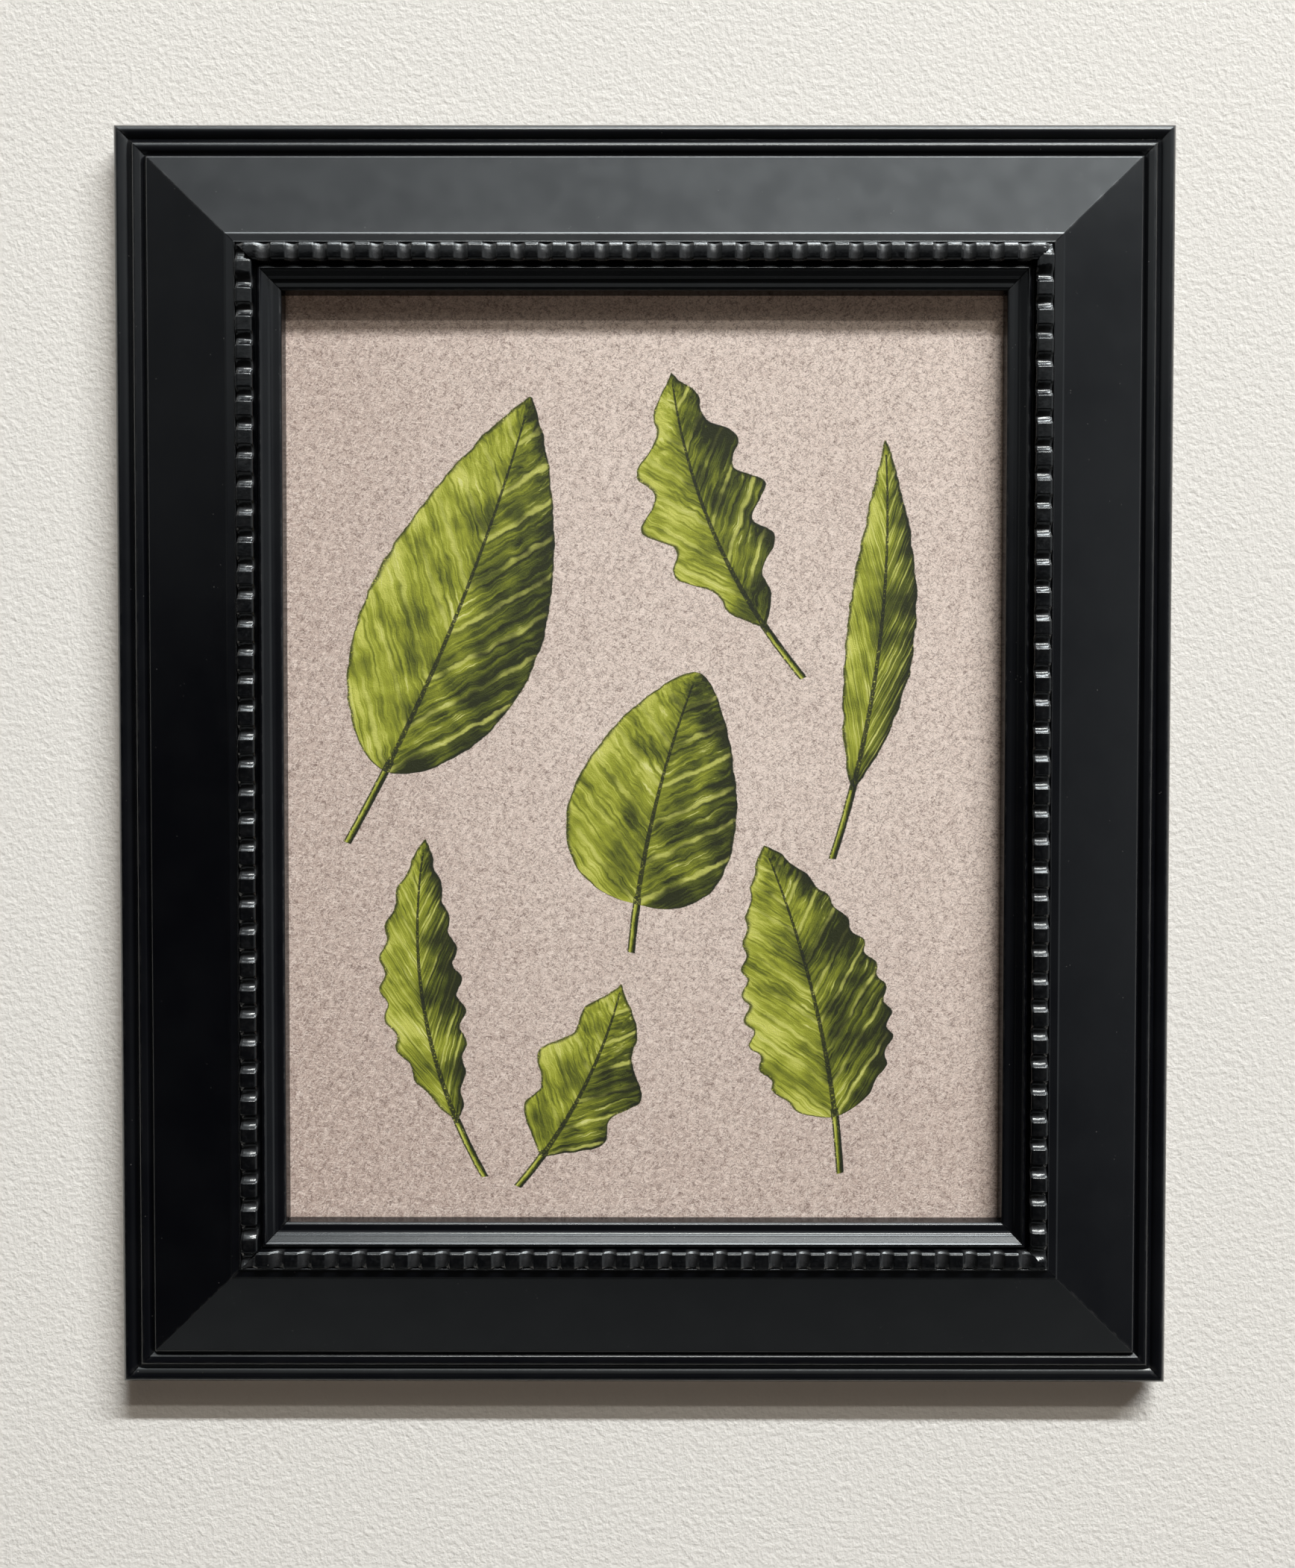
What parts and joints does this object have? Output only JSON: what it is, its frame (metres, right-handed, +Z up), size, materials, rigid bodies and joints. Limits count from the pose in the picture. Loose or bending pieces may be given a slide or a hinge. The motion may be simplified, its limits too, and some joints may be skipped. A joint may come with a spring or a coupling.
{
  "type": "framed picture",
  "caption": "Upright picture in a wide black moulded frame with a ribbed inner strip, hung on a wall by a sawtooth hanger.",
  "frame": {"origin": "on the plane of the rails' flat backs, behind the middle notch of the sawtooth hanger, 30 mm below the frame's top edge", "axes": "+Z up, +X to the viewer's right, -Y out of the wall towards the viewer"},
  "size_m": [0.4, 0.0306, 0.478],
  "materials": {
    "black_lacquer": "satin black lacquer over wood, bare wood on the back",
    "black_gloss": "gloss black lacquer over wood",
    "toned_paper": null,
    "grey_board": "matt pale grey mount board",
    "hardboard": "bare brown hardboard",
    "spring_steel": "zinc-plated steel",
    "brass": "brass-plated steel",
    "felt": "dark pressed felt"
  },
  "bodies": {
    "root": {"rail_bottom": "black_lacquer", "rail_left": "black_lacquer", "rail_top": "black_lacquer", "rail_right": "black_lacquer", "corner_wedge_top_left_1": "spring_steel", "corner_wedge_top_left_2": "spring_steel", "corner_wedge_top_right_1": "spring_steel", "corner_wedge_top_right_2": "spring_steel", "corner_wedge_bottom_left_1": "spring_steel", "corner_wedge_bottom_left_2": "spring_steel", "corner_wedge_bottom_right_1": "spring_steel", "corner_wedge_bottom_right_2": "spring_steel", "point_bottom_1": "spring_steel", "point_bottom_2": "spring_steel", "point_left_1": "spring_steel", "point_left_2": "spring_steel", "point_left_3": "spring_steel", "point_top_1": "spring_steel", "point_top_2": "spring_steel", "point_right_1": "spring_steel", "point_right_2": "spring_steel", "point_right_3": "spring_steel", "ribbed_strip_bottom": "black_gloss", "ribbed_strip_left": "black_gloss", "ribbed_strip_top": "black_gloss", "ribbed_strip_right": "black_gloss", "toned_sheet": "toned_paper", "mount_board": "grey_board", "backing_board": "hardboard", "hanger_plate": "brass", "hanger_nail_left": "brass", "bumper_left": "felt", "hanger_nail_right": "brass", "bumper_right": "felt"}
  },
  "joints": []
}
